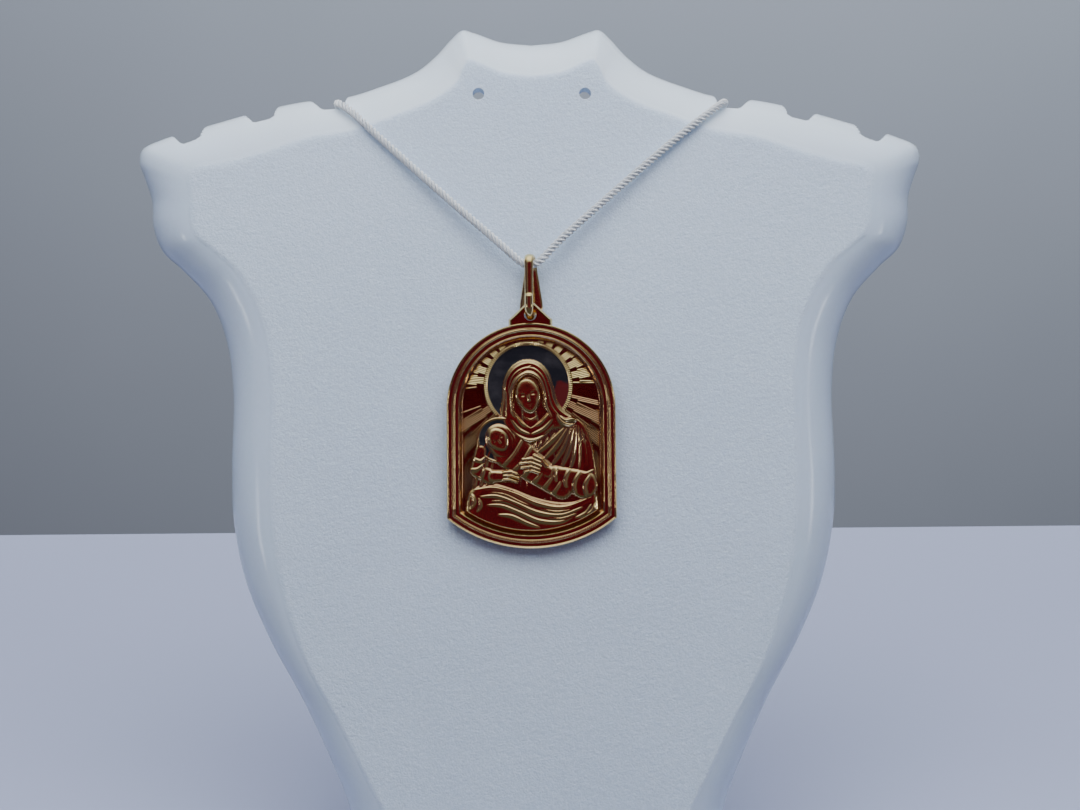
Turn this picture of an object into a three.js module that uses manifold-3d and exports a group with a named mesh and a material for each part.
// A gold religious medal with its bail, hung by a twisted cord on a small white neck bust display.
// Millimetres, +Z up. The bust faces -Y and stands on z = 0. The origin is on the floor,
// halfway between the bust's front foot and the end of its rear leg.

import * as THREE from 'three';
import { mergeVertices } from 'three/addons/utils/BufferGeometryUtils.js';
import Module from 'manifold-3d';

const wasm = await Module();
wasm.setup();

// Driving dimensions of the bust display
const BUST_HEIGHT = 120.1;
const BUST_HALF_WIDTH = 53.5;
const BUST_WALL = 2.0;
const BUST_LEAN_DEG = 20;
const RIM_WIDTH = 6.5;
const RIM_DEPTH = 6.0;
const RIM_WALL = 3.0;
const EAR_HOLE_RADIUS = 0.8;
const EAR_HOLE_SPACING = 14.3;
const EAR_HOLE_BELOW_TOP = 10.6;
const NOTCH_DEPTH = 1.6;
const STAND_DEPTH = 56;
const LEG_WIDTH = 24;
const LEG_THICKNESS = 3;
const LEG_PAD_RISE = 57;
const LEG_PAD_LENGTH = 14;
const LEG_FOOT_LENGTH = 12;
const SEAT_GAP = 0.3;

// Driving dimensions of the medal
const MEDAL_WIDTH = 22.0;
const MEDAL_SIDE = 14.4;
const MEDAL_FOOT_RADIUS = 17.4;
const PLATE_THICKNESS = 0.8;
const BORDER_WIDTH = 2.1;
const BORDER_HEIGHT = 0.6;
const RELIEF_HEIGHT = 0.95;
const RELIEF_CELL = 0.44;
const LUG_HALF_WIDTH = 2.85;
const LUG_HEIGHT = 2.7;
const LUG_RIM = 0.42;
const LUG_RIM_HEIGHT = 0.3;
const LUG_HOLE_RADIUS = 0.95;
const LUG_HOLE_ABOVE_ARCH = 1.15;
const MEDAL_TOP_RISE = 78.04;
const PENDANT_OFFSET = -0.5;

// Driving dimensions of the bail and the cord
const BAIL_BEND_RADIUS = 1.2;
const BAIL_STRAIGHT = 5.4;
const BAIL_THICKNESS = 0.6;
const BAIL_FRONT_WIDTH = 1.1;
const BAIL_BACK_WIDTH = 3.1;
const BAIL_YAW_DEG = -8;
const BAIL_TO_PANEL = 0.2;
const CORD_DIAMETER = 1.0;
const CORD_SIDES = 8;
const CORD_STEPS = 64;
const KNOT_LENGTH = 2.6;
const KNOT_THICKNESS = 2.0;

const radians = THREE.MathUtils.degToRad;

// Meshes and solids

function geometryFrom(points, triangles) {
  const geometry = new THREE.BufferGeometry();
  geometry.setAttribute('position', new THREE.Float32BufferAttribute(points.flat(), 3));
  geometry.setIndex(triangles.flat());
  return geometry;
}

function solidFrom(geometry) {
  const bare = geometry.clone();
  bare.deleteAttribute('normal');
  bare.deleteAttribute('uv');
  const merged = mergeVertices(bare, 1e-5);
  return new wasm.Manifold(new wasm.Mesh({
    numProp: 3,
    vertProperties: new Float32Array(merged.attributes.position.array),
    triVerts: new Uint32Array(merged.index.array),
  }));
}

function geometryOf(solid) {
  const mesh = solid.getMesh();
  const geometry = new THREE.BufferGeometry();
  geometry.setAttribute('position', new THREE.BufferAttribute(new Float32Array(mesh.vertProperties), 3));
  geometry.setIndex(new THREE.BufferAttribute(new Uint32Array(mesh.triVerts), 1));
  return geometry;
}

// A closed solid from rings of equally many [x, y, z] points. The first and last rings are capped flat.
function loftSolid(rings) {
  const count = rings[0].length;
  const points = rings.flat();
  const triangles = [];
  for (let r = 0; r + 1 < rings.length; r++) {
    for (let i = 0; i < count; i++) {
      const a = r * count + i;
      const b = r * count + (i + 1) % count;
      triangles.push([a, b, b + count], [a, b + count, a + count]);
    }
  }
  const capOf = ring => THREE.ShapeUtils.triangulateShape(ring.map(p => new THREE.Vector2(p[0], p[1])), []);
  const last = (rings.length - 1) * count;
  for (const [a, b, c] of capOf(rings[0])) triangles.push([a, c, b]);
  for (const [a, b, c] of capOf(rings[rings.length - 1])) triangles.push([last + a, last + b, last + c]);
  return solidFrom(geometryFrom(points, triangles));
}

// A prism of a flat outline of [x, y] points, from z = low to z = high.
function prism(outline, low, high) {
  const shape = new THREE.Shape(outline.map(p => new THREE.Vector2(p[0], p[1])));
  const geometry = new THREE.ExtrudeGeometry(shape, { depth: high - low, bevelEnabled: false });
  return solidFrom(geometry.translate(0, 0, low));
}

function disc(x, y, radius, low, high, sides) {
  const outline = [];
  for (let i = 0; i < sides; i++) {
    const turn = 2 * Math.PI * (i + 0.5) / sides;
    outline.push([x + radius * Math.cos(turn), y + radius * Math.sin(turn)]);
  }
  return prism(outline, low, high);
}

// Points of a smooth curve through the given [x, y, z] points.
function smooth(points, steps, closed = false) {
  const curve = new THREE.CatmullRomCurve3(points.map(p => new THREE.Vector3(...p)), closed, 'centripetal');
  const made = curve.getPoints(steps).map(p => [p.x, p.y, p.z]);
  return closed ? made.slice(0, -1) : made;
}

// The neck bust, in the panel's frame: x to the right, y up along the front face, z out of it.
// half and rise are shares of BUST_HALF_WIDTH and BUST_HEIGHT, on the right side from the neck's top
// down to the foot. inward is the direction, in degrees, in which the flat face's edge lies, reach RIM_WIDTHs
// away, and crease is the angle, in degrees, by which the rim breaks away from the flat face there.
const BUST_OUTLINE = [
  { name: 'neck dip', half: 0.000, rise: 0.982, inward: -90, reach: 1.00, crease: 20 },
  { name: 'neck dip side', half: 0.078, rise: 0.986, inward: -94, reach: 1.00, crease: 21 },
  { name: 'neck peak inside', half: 0.147, rise: 0.997, inward: -98, reach: 1.00, crease: 24 },
  { name: 'neck peak', half: 0.177, rise: 1.000, inward: -101, reach: 1.00, crease: 26 },
  { name: 'neck peak outside', half: 0.206, rise: 0.989, inward: -108, reach: 1.00, crease: 26 },
  { name: 'collar top', half: 0.246, rise: 0.969, inward: -122, reach: 1.00, crease: 24 },
  { name: 'collar bend', half: 0.299, rise: 0.950, inward: -118, reach: 1.00, crease: 23 },
  { name: 'collar low', half: 0.397, rise: 0.932, inward: -105, reach: 1.00, crease: 22 },
  { name: 'collar end', half: 0.470, rise: 0.922, inward: -101, reach: 1.04, crease: 21 },
  { name: 'shoulder inside', half: 0.589, rise: 0.916, inward: -101, reach: 1.10, crease: 19 },
  { name: 'shoulder middle', half: 0.700, rise: 0.905, inward: -104, reach: 1.20, crease: 15 },
  { name: 'shoulder outside', half: 0.815, rise: 0.890, inward: -112, reach: 1.20, crease: 11 },
  { name: 'tip top', half: 0.945, rise: 0.872, inward: -138, reach: 1.31, crease: 8 },
  { name: 'tip corner', half: 0.992, rise: 0.861, inward: -148, reach: 1.50, crease: 7 },
  { name: 'tip', half: 0.999, rise: 0.846, inward: -154, reach: 1.48, crease: 7 },
  { name: 'tip under', half: 0.985, rise: 0.828, inward: -158, reach: 1.32, crease: 7 },
  { name: 'arm', half: 0.966, rise: 0.802, inward: -166, reach: 1.10, crease: 7 },
  { name: 'arm low', half: 0.960, rise: 0.770, inward: -179, reach: 1.03, crease: 7 },
  { name: 'arm corner', half: 0.937, rise: 0.744, inward: 171, reach: 0.97, crease: 7 },
  { name: 'armpit', half: 0.887, rise: 0.723, inward: 159, reach: 0.87, crease: 7 },
  { name: 'side top', half: 0.815, rise: 0.687, inward: 150, reach: 0.90, crease: 7 },
  { name: 'side', half: 0.773, rise: 0.641, inward: 164, reach: 1.00, crease: 7 },
  { name: 'side middle', half: 0.755, rise: 0.585, inward: 177, reach: 1.00, crease: 7 },
  { name: 'side low', half: 0.756, rise: 0.495, inward: -178, reach: 1.00, crease: 7 },
  { name: 'hip top', half: 0.750, rise: 0.440, inward: -172, reach: 1.00, crease: 7 },
  { name: 'hip', half: 0.718, rise: 0.373, inward: -163, reach: 1.00, crease: 7 },
  { name: 'hip low', half: 0.655, rise: 0.308, inward: -154, reach: 1.00, crease: 7 },
  { name: 'taper', half: 0.574, rise: 0.243, inward: -153, reach: 1.00, crease: 7 },
  { name: 'taper low', half: 0.505, rise: 0.178, inward: -156, reach: 1.00, crease: 7 },
  { name: 'ankle top', half: 0.462, rise: 0.130, inward: -163, reach: 1.00, crease: 7 },
  { name: 'ankle', half: 0.442, rise: 0.080, inward: -178, reach: 1.00, crease: 7 },
  { name: 'foot', half: 0.458, rise: 0.030, inward: 170, reach: 1.00, crease: 7 },
  { name: 'below the floor', half: 0.496, rise: -0.060, inward: 166, reach: 1.00, crease: 7 },
];

// Notches in the shoulders that hold a cord or chain. inner and outer are shares of BUST_HALF_WIDTH,
// floor is a share of BUST_HEIGHT, and drop says how far the floor falls to its outer end, in NOTCH_DEPTHs.
const NOTCHES = [
  { name: 'cord notch', inner: 0.474, outer: 0.532, floor: 0.9005, drop: 0.05 },
  { name: 'middle notch', inner: 0.651, outer: 0.704, floor: 0.8893, drop: 0.30 },
  { name: 'tip notch', inner: 0.835, outer: 0.884, floor: 0.8653, drop: 0.38 },
];

const RIM_ARCS = 4;

// The rim's section: how far out from the flat face's edge, as a share of RIM_WIDTH, and how far back.
function rimSection(share, crease, width, depth) {
  const turn = crease + (Math.PI / 2 - crease) * share;
  return {
    out: width / RIM_WIDTH * (Math.sin(turn) - Math.sin(crease)) / (1 - Math.sin(crease)),
    back: depth * (Math.cos(crease) - Math.cos(turn)) / Math.cos(crease),
  };
}

function bustLoop(points) {
  const right = smooth(points, 2 * points.length - 2);
  const left = right.slice(1).map(([x, y, crease]) => [-x, y, crease]).reverse();
  return [...left, ...right].reverse();
}

function neckBust() {
  const outer = BUST_OUTLINE.map(({ half, rise, crease }) => [
    half * BUST_HALF_WIDTH,
    rise * BUST_HEIGHT,
    radians(crease),
  ]);
  const inner = BUST_OUTLINE.map(({ inward, reach }, i) => [
    Math.max(0, outer[i][0] + reach * RIM_WIDTH * Math.cos(radians(inward))),
    outer[i][1] + reach * RIM_WIDTH * Math.sin(radians(inward)),
    0,
  ]);
  inner[0][0] = 0;
  const outerLoop = bustLoop(outer);
  const innerLoop = bustLoop(inner);
  // A ring of the rim: its outer face at walls 0, its inner face at BUST_WALL behind the front and RIM_WALL
  // inside the outline. The rim's wall is thicker than the notches are deep.
  const ringAt = (share, wall, rimWall) => outerLoop.map(([x, y, crease], i) => {
    const at = rimSection(share, crease, RIM_WIDTH - rimWall, RIM_DEPTH - wall);
    const [innerX, innerY] = innerLoop[i];
    return [innerX + at.out * (x - innerX), innerY + at.out * (y - innerY), -wall - at.back];
  });
  const rings = [];
  for (let k = 0; k <= RIM_ARCS; k++) rings.push(ringAt(k / RIM_ARCS, BUST_WALL, RIM_WALL));
  for (let k = RIM_ARCS; k >= 0; k--) rings.push(ringAt(k / RIM_ARCS, 0, 0));
  let bust = loftSolid(rings);

  const above = 1.1 * BUST_HEIGHT;
  const soften = 0.3 * NOTCH_DEPTH;
  for (const notch of NOTCHES) {
    const inside = notch.inner * BUST_HALF_WIDTH;
    const outside = notch.outer * BUST_HALF_WIDTH;
    const floor = notch.floor * BUST_HEIGHT;
    const low = floor - notch.drop * NOTCH_DEPTH;
    const profile = [
      [inside - 0.2 * soften, floor + NOTCH_DEPTH],
      [inside, floor + soften],
      [inside + soften, floor],
      [outside - soften, low],
      [outside, low + 0.3 * soften],
      [outside + 0.8 * NOTCH_DEPTH, low + NOTCH_DEPTH],
      [outside + 1.5 * NOTCH_DEPTH, low + 1.7 * NOTCH_DEPTH],
      [outside + NOTCH_DEPTH, above],
      [inside - soften, above],
    ];
    for (const side of [1, -1]) {
      const outline = side > 0 ? profile : profile.map(([x, y]) => [-x, y]).reverse();
      bust = bust.subtract(prism(outline, -RIM_DEPTH - 1, 1));
    }
  }
  for (const side of [1, -1]) {
    const x = side * EAR_HOLE_SPACING / 2;
    bust = bust.subtract(disc(x, BUST_HEIGHT - EAR_HOLE_BELOW_TOP, EAR_HOLE_RADIUS, -RIM_DEPTH, 1, 12));
  }
  // The floor, seen in the leaning panel's frame, cuts the foot level.
  const lean = radians(BUST_LEAN_DEG);
  const below = new THREE.BoxGeometry(4 * BUST_HALF_WIDTH, BUST_HEIGHT, 4 * RIM_DEPTH + BUST_HEIGHT);
  below.translate(0, -BUST_HEIGHT / 2, 0);
  below.rotateX(lean);
  return bust.subtract(solidFrom(below));
}

// A bent line's parallel at a distance to its left, with its corners mitred.
function parallel(line, distance) {
  const normals = line.slice(1).map(([x, y], i) => {
    const length = Math.hypot(x - line[i][0], y - line[i][1]);
    return [(line[i][1] - y) / length, (x - line[i][0]) / length];
  });
  return line.map(([x, y], i) => {
    const [ax, ay] = normals[Math.max(0, i - 1)];
    const [bx, by] = normals[Math.min(i, normals.length - 1)];
    const stretch = distance / (1 + ax * bx + ay * by);
    return [x + (ax + bx) * stretch, y + (ay + by) * stretch];
  });
}

// The rear leg: a bent strip, from a pad on the back of the panel down to a foot on the floor.
// Its outline is in the upright plane x = 0, as [y, z] points.
function rearLeg() {
  const lean = radians(BUST_LEAN_DEG);
  const padSurface = -BUST_WALL - SEAT_GAP - LEG_THICKNESS;
  const onPad = rise => [
    -STAND_DEPTH / 2 + rise * Math.sin(lean) - padSurface * Math.cos(lean),
    rise * Math.cos(lean) + padSurface * Math.sin(lean),
  ];
  const heel = STAND_DEPTH / 2;
  const padTop = onPad(LEG_PAD_RISE + LEG_PAD_LENGTH);
  const outside = [padTop, onPad(LEG_PAD_RISE), [heel, 0], [heel - LEG_FOOT_LENGTH, 0]];
  const inside = parallel(outside, -LEG_THICKNESS).reverse();
  const leg = prism([...inside, ...outside], -LEG_WIDTH / 2, LEG_WIDTH / 2);
  // The prism's [x, y, z] is turned to the leg's [y, z, x].
  return geometryOf(leg).applyMatrix4(new THREE.Matrix4().set(
    0, 0, 1, 0,
    1, 0, 0, 0,
    0, 1, 0, 0,
    0, 0, 0, 1,
  ));
}

// The medal's plate, in its own frame: origin at the arch's centre, x right, y up, back face on z = 0.
const ARCH_RADIUS = MEDAL_WIDTH / 2;
const FOOT_SAGITTA = MEDAL_FOOT_RADIUS - Math.sqrt(MEDAL_FOOT_RADIUS ** 2 - ARCH_RADIUS ** 2);
const FOOT_CENTRE = -MEDAL_SIDE - FOOT_SAGITTA + MEDAL_FOOT_RADIUS;
const FIELD_HALF = ARCH_RADIUS - BORDER_WIDTH;

// The medal's outline, a distance inside its edge: the arch, the straight sides and the curved foot.
function medalLoop(inset) {
  const half = ARCH_RADIUS - inset;
  const foot = MEDAL_FOOT_RADIUS - inset;
  const footTurn = Math.asin(half / foot);
  const loop = [];
  const archSteps = 24;
  const footSteps = 12;
  for (let i = 0; i <= archSteps; i++) {
    const turn = Math.PI * i / archSteps;
    loop.push([half * Math.cos(turn), half * Math.sin(turn)]);
  }
  for (let i = 0; i <= footSteps; i++) {
    const turn = footTurn * (2 * i / footSteps - 1);
    loop.push([foot * Math.sin(turn), FOOT_CENTRE - foot * Math.cos(turn)]);
  }
  return loop;
}

// The border's section from the edge inwards. inset is a share of BORDER_WIDTH, and
// height is above the plate, as a share of BORDER_HEIGHT.
const BORDER_SECTION = [
  { name: 'outer ridge foot', inset: 0.00, height: 0.25 },
  { name: 'outer ridge shoulder', inset: 0.08, height: 0.75 },
  { name: 'outer ridge crest', inset: 0.20, height: 0.95 },
  { name: 'groove side', inset: 0.32, height: 0.70 },
  { name: 'groove', inset: 0.42, height: 0.35 },
  { name: 'inner ridge side', inset: 0.52, height: 0.80 },
  { name: 'inner ridge crest', inset: 0.62, height: 1.00 },
  { name: 'inner ridge inside', inset: 0.74, height: 0.75 },
  { name: 'cove', inset: 0.86, height: 0.25 },
  { name: 'field edge', inset: 1.00, height: 0.00 },
];

// The relief on the field: a seated mother in a veil and mantle who holds a swaddled child, with rays behind.
// All x, y and radii are shares of the field's half width, from the arch's centre. Heights are shares of
// RELIEF_HEIGHT.
const HALO = { x: -0.04, y: 0.315, radius: 0.645, rim: 0.055 };
const CHILD_HALO = { x: -0.47, y: -0.48, radius: 0.33, rim: 0.05 };
const RAY_SPREAD_DEG = 15;

// Raised forms with a rounded edge. edge is the width of the rounding.
const MASSES = [
  { name: 'mantle', height: 0.42, edge: 0.16, outline: [[-0.42, -0.14], [-0.62, -0.27], [-0.75, -0.52],
    [-0.84, -0.95], [-0.90, -1.40], [-0.92, -2.6], [0.96, -2.6], [0.95, -1.40], [0.90, -0.85], [0.82, -0.42],
    [0.68, -0.19], [0.50, -0.10], [0.10, 0.05]] },
  { name: 'veil', height: 0.78, edge: 0.26, outline: [[-0.09, 0.70], [0.12, 0.66], [0.26, 0.52], [0.33, 0.30],
    [0.40, 0.06], [0.50, -0.14], [0.28, -0.34], [0.02, -0.40], [-0.28, -0.30], [-0.44, -0.14], [-0.41, 0.16],
    [-0.40, 0.40], [-0.29, 0.60]] },
  { name: 'lap', height: 0.62, edge: 0.30, outline: [[-0.72, -1.02], [-0.30, -1.10], [0.20, -1.22],
    [0.62, -1.14], [0.80, -1.34], [0.70, -2.6], [-0.76, -2.6], [-0.84, -1.30]] },
];

// Rounded bars between two points, such as limbs, with a radius at each end.
const LIMBS = [
  { name: 'face', from: [-0.03, 0.10], to: [-0.07, 0.27], start: 0.18, end: 0.215, height: 0.92 },
  { name: 'swaddled child', from: [-0.30, -0.62], to: [0.36, -1.12], start: 0.27, end: 0.17, height: 0.88 },
  { name: 'child head', from: [-0.49, -0.47], to: [-0.46, -0.52], start: 0.17, end: 0.16, height: 1.00 },
  { name: 'upper arm', from: [0.66, -0.42], to: [0.70, -1.02], start: 0.16, end: 0.20, height: 0.72 },
  { name: 'forearm', from: [0.66, -1.12], to: [0.26, -0.94], start: 0.19, end: 0.12, height: 0.90 },
  { name: 'hand', from: [0.20, -0.91], to: [-0.06, -0.80], start: 0.10, end: 0.06, height: 1.00 },
  { name: 'supporting arm', from: [-0.70, -0.62], to: [-0.52, -0.98], start: 0.13, end: 0.15, height: 0.80 },
];

// Folds of cloth: ridges along a bent line, added to what lies under them.
const FOLDS = [
  { name: 'veil edge', width: 0.07, height: 0.16, bend: [[-0.33, 0.02], [-0.40, 0.58], [-0.02, 0.57]] },
  { name: 'veil edge right', width: 0.07, height: 0.16, bend: [[-0.02, 0.57], [0.26, 0.52], [0.22, 0.06]] },
  { name: 'collar left', width: 0.06, height: 0.18, bend: [[-0.22, -0.12], [-0.10, -0.26], [0.05, -0.30]] },
  { name: 'collar right', width: 0.06, height: 0.18, bend: [[0.05, -0.30], [0.22, -0.24], [0.30, -0.08]] },
  { name: 'shoulder fold 1', width: 0.06, height: 0.18, bend: [[0.62, -0.24], [0.46, -0.50], [0.24, -0.78]] },
  { name: 'shoulder fold 2', width: 0.06, height: 0.18, bend: [[0.66, -0.28], [0.58, -0.55], [0.44, -0.86]] },
  { name: 'shoulder fold 3', width: 0.06, height: 0.16, bend: [[0.56, -0.20], [0.30, -0.42], [0.08, -0.62]] },
  { name: 'swaddle fold 1', width: 0.06, height: 0.14, bend: [[-0.38, -0.86], [-0.20, -0.66], [-0.12, -0.44]] },
  { name: 'swaddle fold 2', width: 0.06, height: 0.14, bend: [[-0.18, -0.98], [-0.02, -0.84], [0.04, -0.58]] },
  { name: 'swaddle fold 3', width: 0.06, height: 0.12, bend: [[0.12, -1.16], [0.26, -1.02], [0.34, -0.88]] },
  { name: 'lap fold 1', width: 0.08, height: 0.20, bend: [[-0.70, -1.08], [-0.20, -1.52], [0.58, -1.24]] },
  { name: 'lap fold 2', width: 0.08, height: 0.20, bend: [[-0.76, -1.24], [-0.20, -1.72], [0.70, -1.38]] },
  { name: 'lap fold 3', width: 0.08, height: 0.18, bend: [[-0.66, -1.48], [-0.10, -1.84], [0.66, -1.54]] },
  { name: 'mantle side left', width: 0.07, height: 0.18, bend: [[-0.66, -0.46], [-0.80, -0.95], [-0.80, -1.50]] },
  { name: 'mantle side right', width: 0.07, height: 0.18, bend: [[0.80, -0.50], [0.92, -0.95], [0.84, -1.46]] },
];

function distanceToSegment(x, y, [ax, ay], [bx, by]) {
  const dx = bx - ax;
  const dy = by - ay;
  const share = THREE.MathUtils.clamp(((x - ax) * dx + (y - ay) * dy) / (dx * dx + dy * dy), 0, 1);
  return { far: Math.hypot(x - ax - share * dx, y - ay - share * dy), share };
}

function isInside(x, y, outline) {
  let inside = false;
  for (let i = 0, j = outline.length - 1; i < outline.length; j = i++) {
    const [ax, ay] = outline[i];
    const [bx, by] = outline[j];
    if (ay > y !== by > y && x < (bx - ax) * (y - ay) / (by - ay) + ax) inside = !inside;
  }
  return inside;
}

// A rounded edge: 0 at the rim of a form and 1 from its full width inwards.
function dome(depth, edge) {
  const rest = 1 - THREE.MathUtils.clamp(depth / edge, 0, 1);
  return Math.sqrt(1 - rest * rest);
}

function massHeight(mass, x, y) {
  if (!isInside(x, y, mass.smooth)) return 0;
  let near = Infinity;
  for (let i = 0; i < mass.smooth.length; i++) {
    const next = mass.smooth[(i + 1) % mass.smooth.length];
    near = Math.min(near, distanceToSegment(x, y, mass.smooth[i], next).far);
  }
  return mass.height * dome(near, mass.edge);
}

function limbHeight(limb, x, y) {
  const { far, share } = distanceToSegment(x, y, limb.from, limb.to);
  const radius = limb.start + share * (limb.end - limb.start);
  return far < radius ? limb.height * (0.55 + 0.45 * dome(radius - far, radius)) : 0;
}

function foldHeight(fold, x, y) {
  let height = 0;
  for (let i = 0; i + 1 < fold.line.length; i++) {
    const { far, share } = distanceToSegment(x, y, fold.line[i], fold.line[i + 1]);
    const along = (i + share) / (fold.line.length - 1);
    const width = fold.width * (0.4 + 0.6 * Math.sin(Math.PI * along));
    if (far < width) height = Math.max(height, fold.height * (1 - (far / width) ** 2));
  }
  return height;
}

function haloHeight(halo, plateau, crest, x, y) {
  const far = Math.hypot(x - halo.x, y - halo.y);
  if (far > halo.radius) return 0;
  return far > halo.radius - halo.rim ? crest : plateau;
}

// Every second ray from the halo's centre stands a little proud of the field.
function rayHeight(x, y) {
  const turn = Math.atan2(y - HALO.y, x - HALO.x);
  return Math.floor(turn / radians(RAY_SPREAD_DEG)) % 2 === 0 ? 0.16 : 0.05;
}

function reliefHeight(x, y) {
  let height = Math.max(
    rayHeight(x, y),
    haloHeight(HALO, 0.22, 0.38, x, y),
    haloHeight(CHILD_HALO, 0.50, 0.66, x, y),
  );
  for (const mass of MASSES) height = Math.max(height, massHeight(mass, x, y));
  let folds = 0;
  if (height > 0.39) for (const fold of FOLDS) folds = Math.max(folds, foldHeight(fold, x, y));
  for (const limb of LIMBS) height = Math.max(height, limbHeight(limb, x, y));
  return Math.min(1.1, height + folds);
}

function reliefSolid() {
  for (const mass of MASSES) {
    const corners = mass.outline.map(([x, y]) => [x, y, 0]);
    mass.smooth = smooth(corners, 3 * corners.length, true);
  }
  for (const fold of FOLDS) {
    const bend = new THREE.QuadraticBezierCurve(...fold.bend.map(p => new THREE.Vector2(...p)));
    fold.line = bend.getPoints(6).map(p => [p.x, p.y]);
  }
  const low = FOOT_CENTRE - MEDAL_FOOT_RADIUS;
  const columns = Math.round(2 * FIELD_HALF / RELIEF_CELL);
  const rows = Math.round((ARCH_RADIUS - low) / RELIEF_CELL);
  const points = [];
  const triangles = [];
  const count = (columns + 1) * (rows + 1);
  for (const layer of [0, 1]) {
    for (let j = 0; j <= rows; j++) {
      for (let i = 0; i <= columns; i++) {
        const x = FIELD_HALF * (2 * i / columns - 1);
        const y = low + (ARCH_RADIUS - low) * j / rows;
        const height = RELIEF_HEIGHT * reliefHeight(x / FIELD_HALF, y / FIELD_HALF);
        points.push([x, y, layer ? PLATE_THICKNESS + height : PLATE_THICKNESS / 2]);
      }
    }
  }
  const quad = (a, b, c, d) => triangles.push([a, b, c], [a, c, d]);
  for (let j = 0; j < rows; j++) {
    for (let i = 0; i < columns; i++) {
      const a = j * (columns + 1) + i;
      const b = a + columns + 1;
      quad(a, b, b + 1, a + 1);
      quad(count + a, count + a + 1, count + b + 1, count + b);
    }
  }
  const side = (a, b) => quad(a, b, b + count, a + count);
  for (let i = 0; i < columns; i++) {
    side(i, i + 1);
    side(rows * (columns + 1) + i + 1, rows * (columns + 1) + i);
  }
  for (let j = 0; j < rows; j++) {
    side((j + 1) * (columns + 1), j * (columns + 1));
    side(j * (columns + 1) + columns, (j + 1) * (columns + 1) + columns);
  }
  const block = solidFrom(geometryFrom(points, triangles));
  return block.intersect(prism(medalLoop(0.92 * BORDER_WIDTH), 0, 4 * RELIEF_HEIGHT));
}

// The lug at the top of the arch: a small gable with a raised rim and a hole for the bail.
function lugOutline(inset) {
  const half = LUG_HALF_WIDTH - inset;
  const shoulder = ARCH_RADIUS + 0.28 * LUG_HEIGHT - 0.3 * inset;
  const peak = ARCH_RADIUS + LUG_HEIGHT - 1.2 * inset;
  const peakHalf = 0.16 * LUG_HALF_WIDTH;
  const root = ARCH_RADIUS - BORDER_WIDTH / 2;
  const right = [
    [half, root],
    [half, shoulder - 0.1 * LUG_HEIGHT],
    [half - 0.12 * LUG_HALF_WIDTH, shoulder],
    [peakHalf, peak],
  ];
  return [...right, ...right.map(([x, y]) => [-x, y]).reverse()];
}

function medalSolid() {
  const chamfer = 0.15 * PLATE_THICKNESS;
  const ring = (inset, z) => medalLoop(inset).map(([x, y]) => [x, y, z]);
  const rings = [ring(chamfer, 0), ring(0, chamfer)];
  for (const at of BORDER_SECTION) {
    rings.push(ring(at.inset * BORDER_WIDTH, PLATE_THICKNESS + at.height * BORDER_HEIGHT));
  }
  const lug = prism(lugOutline(0), 0, PLATE_THICKNESS);
  const lugFrame = prism(lugOutline(0), PLATE_THICKNESS / 2, PLATE_THICKNESS + LUG_RIM_HEIGHT)
    .subtract(prism(lugOutline(LUG_RIM), 0, 2 * PLATE_THICKNESS));
  const hole = disc(0, ARCH_RADIUS + LUG_HOLE_ABOVE_ARCH, LUG_HOLE_RADIUS, -1, 3 * PLATE_THICKNESS, 16);
  return loftSolid(rings).add(reliefSolid()).add(lug).add(lugFrame).subtract(hole);
}

// The bail: a flat band bent to a long closed loop, narrow in front and flaring down the back.
// Its frame has the lower bend's centre at the origin, y up and z to the front.
// turn runs round the loop: 0 to 1 up the front strap, 1 to 2 over the top, 2 to 3 down the back
// strap and 3 to 4 under the lower bend. width is a share of the way from the front's width to the back's.
const BAIL_BAND = [
  { name: 'front strap foot', turn: 0.0, width: 0.00 },
  { name: 'front strap', turn: 0.5, width: 0.00 },
  { name: 'front strap top', turn: 1.0, width: 0.02 },
  { name: 'top', turn: 1.5, width: 0.08 },
  { name: 'back strap top', turn: 2.0, width: 0.22 },
  { name: 'back strap flare', turn: 2.9, width: 0.96 },
  { name: 'back strap end', turn: 3.02, width: 1.00 },
  { name: 'tongue shoulder', turn: 3.16, width: 0.75 },
  { name: 'tongue', turn: 3.26, width: 0.00 },
  { name: 'tongue front', turn: 4.0, width: 0.00 },
];

function bailWidth(turn) {
  const next = BAIL_BAND.findIndex(row => row.turn >= turn);
  if (next <= 0) return BAIL_FRONT_WIDTH;
  const [a, b] = [BAIL_BAND[next - 1], BAIL_BAND[next]];
  const share = a.width + (b.width - a.width) * (turn - a.turn) / (b.turn - a.turn);
  return BAIL_FRONT_WIDTH + share * (BAIL_BACK_WIDTH - BAIL_FRONT_WIDTH);
}

// The loop's centreline as { y, z, across }, where across is the direction out of the loop.
function bailPoint(turn) {
  const part = Math.floor(turn) % 4;
  const share = turn - Math.floor(turn);
  const radius = BAIL_BEND_RADIUS;
  if (part === 0) return { y: share * BAIL_STRAIGHT, z: radius, across: 0 };
  if (part === 2) return { y: (1 - share) * BAIL_STRAIGHT, z: -radius, across: Math.PI };
  const across = Math.PI * (part === 1 ? share : 1 + share);
  return {
    y: (part === 1 ? BAIL_STRAIGHT : 0) + radius * Math.sin(across),
    z: radius * Math.cos(across),
    across,
  };
}

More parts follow.
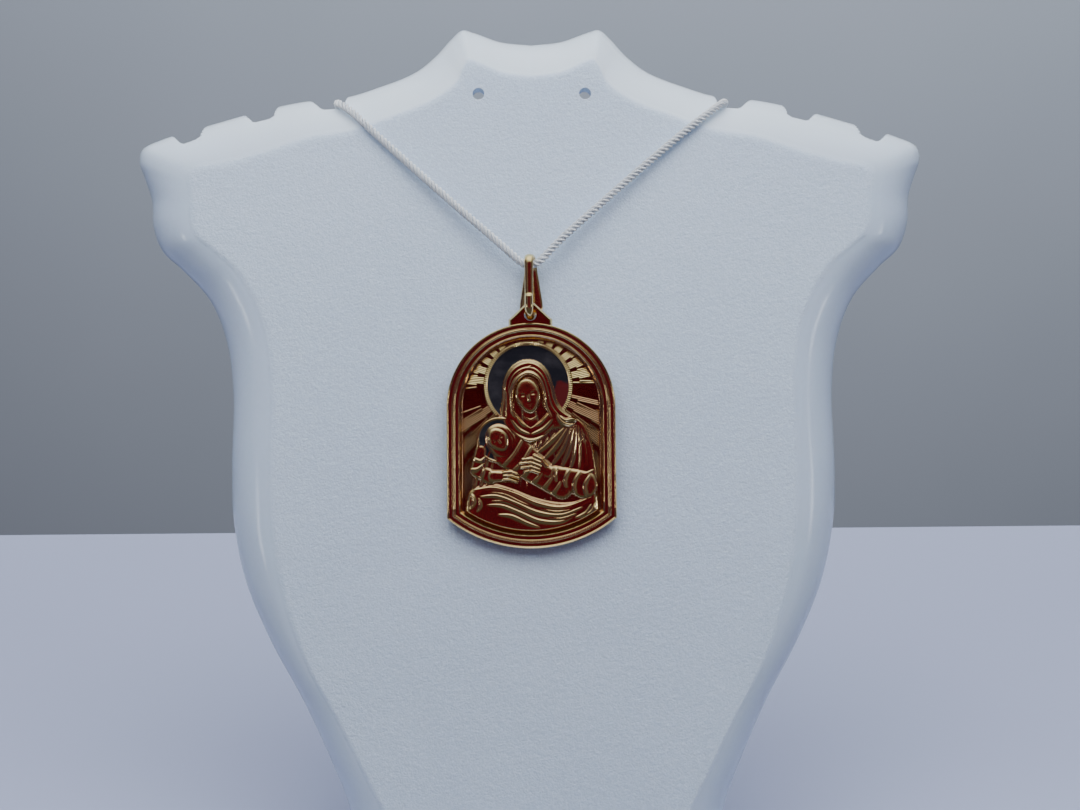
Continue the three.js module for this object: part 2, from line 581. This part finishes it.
function bailGeometry() {
  const straightSteps = [0, 0.33, 0.67];
  const bendSteps = [0, 0.125, 0.25, 0.375, 0.5, 0.625, 0.75, 0.875];
  const turns = [0, 1, 2, 3].flatMap(part => (part % 2 ? bendSteps : straightSteps).map(step => part + step));
  const points = [];
  const triangles = [];
  const corner = 0.3;
  for (const turn of turns) {
    const at = bailPoint(turn);
    const half = bailWidth(turn) / 2;
    const deep = BAIL_THICKNESS / 2;
    const cut = corner * deep;
    const section = [[half, deep - cut], [half - cut, deep], [cut - half, deep], [-half, deep - cut],
      [-half, cut - deep], [cut - half, -deep], [half - cut, -deep], [half, cut - deep]];
    for (const [x, out] of section) {
      points.push([x, at.y + out * Math.sin(at.across), at.z + out * Math.cos(at.across)]);
    }
  }
  const count = 8;
  for (let r = 0; r < turns.length; r++) {
    const next = (r + 1) % turns.length;
    for (let i = 0; i < count; i++) {
      const j = (i + 1) % count;
      triangles.push([r * count + i, next * count + j, r * count + j]);
      triangles.push([r * count + i, next * count + i, next * count + j]);
    }
  }
  return geometryFrom(points, triangles);
}

// The cord's route in the panel's frame, from the knot behind the bust, through the right notch, down to the
// bail, up to the left notch and back to the knot.
const CORD_ROUTE = [
  [1.60, 108.88, -7.20], [23.20, 108.88, -7.22], [25.00, 108.88, -6.93], [25.80, 108.88, -6.20],
  [26.10, 108.88, -5.20], [26.20, 108.90, -4.00], [26.22, 108.86, -2.70], [26.14, 108.72, -1.85],
  [25.80, 108.40, -1.02], [25.10, 107.85, -0.54], [24.20, 107.12, -0.08], [23.10, 106.20, 0.36],
  [21.40, 104.85, 0.60], [18.00, 102.02, 0.80], [13.50, 98.10, 1.12], [8.50, 93.62, 1.47],
  [4.00, 89.55, 1.80], [1.65, 87.12, 1.97], [0.85, 86.30, 2.00], [0.20, 85.94, 2.00],
  [-0.50, 85.83, 2.00], [-1.20, 85.94, 2.00], [-1.85, 86.30, 2.00], [-2.70, 87.06, 1.97],
  [-5.40, 89.55, 1.80], [-9.30, 93.05, 1.50], [-13.15, 96.60, 1.20], [-17.05, 100.25, 0.90],
  [-20.90, 103.90, 0.62], [-22.60, 105.55, 0.48], [-23.80, 106.78, 0.10], [-24.85, 107.70, -0.42],
  [-25.80, 108.40, -1.02], [-26.14, 108.72, -1.85], [-26.22, 108.86, -2.70], [-26.20, 108.90, -4.00],
  [-26.10, 108.88, -5.20], [-25.80, 108.88, -6.20], [-25.00, 108.88, -6.93], [-23.20, 108.88, -7.22],
  [-1.60, 108.88, -7.20],
];
const KNOT_PLACE = [0, 108.88, -7.20];

function cordGeometry() {
  const stops = CORD_ROUTE.map(p => new THREE.Vector3(...p));
  const route = new THREE.CatmullRomCurve3(stops, false, 'centripetal');
  const section = new THREE.Shape();
  for (let i = 0; i < CORD_SIDES; i++) {
    const turn = 2 * Math.PI * i / CORD_SIDES;
    const [x, y] = [CORD_DIAMETER / 2 * Math.cos(turn), CORD_DIAMETER / 2 * Math.sin(turn)];
    if (i === 0) section.moveTo(x, y);
    else section.lineTo(x, y);
  }
  return new THREE.ExtrudeGeometry(section, { steps: CORD_STEPS, extrudePath: route, bevelEnabled: false });
}

function knotGeometry() {
  const knot = new THREE.SphereGeometry(0.5, 12, 8);
  return knot.scale(KNOT_LENGTH, KNOT_THICKNESS, KNOT_THICKNESS);
}

// The assembly
const plastic = new THREE.MeshStandardMaterial({ color: 0xe9edf2, roughness: 0.45, metalness: 0 });
const gold = new THREE.MeshStandardMaterial({ color: 0xd09a62, roughness: 0.2, metalness: 1 });
const thread = new THREE.MeshStandardMaterial({ color: 0xf4f5f7, roughness: 0.6, metalness: 0 });

function piece(name, geometry, material) {
  const mesh = new THREE.Mesh(geometry, material);
  mesh.name = name;
  return mesh;
}

const display = new THREE.Group();
display.add(piece('rear_leg', rearLeg(), plastic));

// The panel's frame leans back from the front foot.
const panel = new THREE.Group();
panel.position.y = -STAND_DEPTH / 2;
panel.rotation.x = Math.PI / 2 - radians(BUST_LEAN_DEG);
display.add(panel);
panel.add(piece('neck_bust', geometryOf(neckBust()), plastic));
panel.add(piece('hanging_cord', cordGeometry(), thread));
const knot = piece('cord_knot', knotGeometry(), thread);
knot.position.set(...KNOT_PLACE);
panel.add(knot);

// The pendant hangs from the lower bend of the bail. The turned bail's back corner is nearest to the panel.
const bailYaw = radians(BAIL_YAW_DEG);
const bailReach = (BAIL_BEND_RADIUS + BAIL_THICKNESS / 2) * Math.cos(bailYaw)
  + BAIL_BACK_WIDTH / 2 * Math.abs(Math.sin(bailYaw));
const swivel = new THREE.Group();
const axisAboveArch = LUG_HOLE_ABOVE_ARCH + BAIL_BEND_RADIUS - 0.05;
swivel.position.set(PENDANT_OFFSET, MEDAL_TOP_RISE + axisAboveArch, BAIL_TO_PANEL + bailReach);
panel.add(swivel);
const bail = piece('bail', bailGeometry(), gold);
bail.rotation.y = bailYaw;
swivel.add(bail);

// The medal leans in until its foot lies SEAT_GAP off the panel.
const medalLength = axisAboveArch + ARCH_RADIUS + MEDAL_SIDE + FOOT_SAGITTA;
const backAtAxis = swivel.position.z - PLATE_THICKNESS / 2;
const medalTilt = Math.asin((backAtAxis - SEAT_GAP) / medalLength);
const hanging = new THREE.Group();
hanging.rotation.x = medalTilt;
swivel.add(hanging);
const medal = piece('medal', geometryOf(medalSolid()), gold);
medal.position.set(0, -axisAboveArch - ARCH_RADIUS, -PLATE_THICKNESS / 2);
hanging.add(medal);

export default display;
